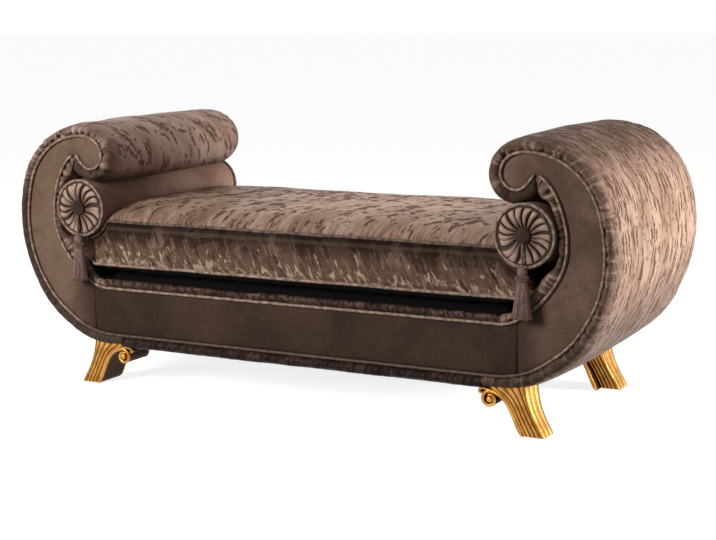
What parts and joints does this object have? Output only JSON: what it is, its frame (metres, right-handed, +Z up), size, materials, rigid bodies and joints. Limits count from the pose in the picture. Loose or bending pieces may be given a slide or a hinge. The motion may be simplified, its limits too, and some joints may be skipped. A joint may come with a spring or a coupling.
{
  "type": "recamier",
  "caption": "Backless upholstered bench with two inward-curling scroll ends, loose seat cushion, loose bolsters with rosettes and tassels, and splayed carved legs.",
  "frame": {"origin": "on the floor, under the middle of the overall box", "axes": "+X to the right along the seat, -Y to the front (the side with the tassels), +Z up"},
  "size_m": [1.766, 0.6964, 0.7229],
  "materials": {
    "jacquard": "taupe satin jacquard with irregular lighter and darker patches",
    "velvet": "grey-brown velvet with a fine upright weave",
    "rosette_velvet": "light taupe velvet gathered in pleats",
    "piping": "light taupe satin over cord",
    "tassel_yarn": "plum-brown yarn",
    "webbing": "woven elastic",
    "lining": "black non-woven",
    "beech": "planed, raw",
    "plywood": "sanded, raw",
    "gilding": "carved wood in antique gold leaf with dark patina in the grooves",
    "steel": "zinc plated"
  },
  "bodies": {
    "frame": {"cross_rail_centre": "beech", "seat_webbing": "webbing", "deck_pad": "jacquard", "dust_cover": "lining", "front_rail": "beech", "rail_cover_front": "velvet", "bottom_band_front": "jacquard", "outer_piping_front": "piping", "inner_piping_front": "piping", "back_rail": "beech", "rail_cover_back": "velvet", "bottom_band_back": "jacquard", "outer_piping_back": "piping", "inner_piping_back": "piping", "cross_rail_left": "beech", "outer_panel_left": "plywood", "inner_panel_left": "plywood", "outer_wrap_left": "jacquard", "inner_wrap_left": "jacquard", "scroll_profile_left_front": "plywood", "arm_facing_left_front": "velvet", "corner_block_left_front": "beech", "leg_left_front": "gilding", "leg_bolt_left_front": "steel", "scroll_profile_left_back": "plywood", "arm_facing_left_back": "velvet", "corner_block_left_back": "beech", "leg_left_back": "gilding", "leg_bolt_left_back": "steel", "cross_rail_right": "beech", "outer_panel_right": "plywood", "inner_panel_right": "plywood", "outer_wrap_right": "jacquard", "inner_wrap_right": "jacquard", "scroll_profile_right_front": "plywood", "arm_facing_right_front": "velvet", "corner_block_right_front": "beech", "leg_right_front": "gilding", "leg_bolt_right_front": "steel", "scroll_profile_right_back": "plywood", "arm_facing_right_back": "velvet", "corner_block_right_back": "beech", "leg_right_back": "gilding", "leg_bolt_right_back": "steel"},
    "cushion": {"seat_cushion": "jacquard", "cushion_piping_top": "piping", "cushion_piping_bottom": "piping"},
    "bolster_left": {"bolster_left": "velvet", "rosette_left_front": "rosette_velvet", "rosette_left_back": "rosette_velvet", "button_left_front": "rosette_velvet", "button_left_back": "rosette_velvet"},
    "tassel_left": {"tassel_left": "tassel_yarn"},
    "bolster_right": {"bolster_right": "velvet", "rosette_right_front": "rosette_velvet", "rosette_right_back": "rosette_velvet", "button_right_front": "rosette_velvet", "button_right_back": "rosette_velvet"},
    "tassel_right": {"tassel_right": "tassel_yarn"}
  },
  "joints": [
    {"name": "cushion_slide", "type": "slide", "parent": "frame", "child": "cushion", "axis": [0, 1, 0], "range_m": [0, 0.6]},
    {"name": "bolster_slide_left", "type": "slide", "parent": "frame", "child": "bolster_left", "axis": [0, -1, 0], "range_m": [0, 0.6]},
    {"name": "tassel_swing_left", "type": "hinge", "parent": "bolster_left", "child": "tassel_left", "pos_m": [-0.65604, -0.33101, 0.49559], "axis": [0, 1, 0], "range_deg": [-30, 30]},
    {"name": "bolster_slide_right", "type": "slide", "parent": "frame", "child": "bolster_right", "axis": [0, -1, 0], "range_m": [0, 0.6]},
    {"name": "tassel_swing_right", "type": "hinge", "parent": "bolster_right", "child": "tassel_right", "pos_m": [0.65604, -0.33101, 0.49559], "axis": [0, 1, 0], "range_deg": [-30, 30]}
  ]
}
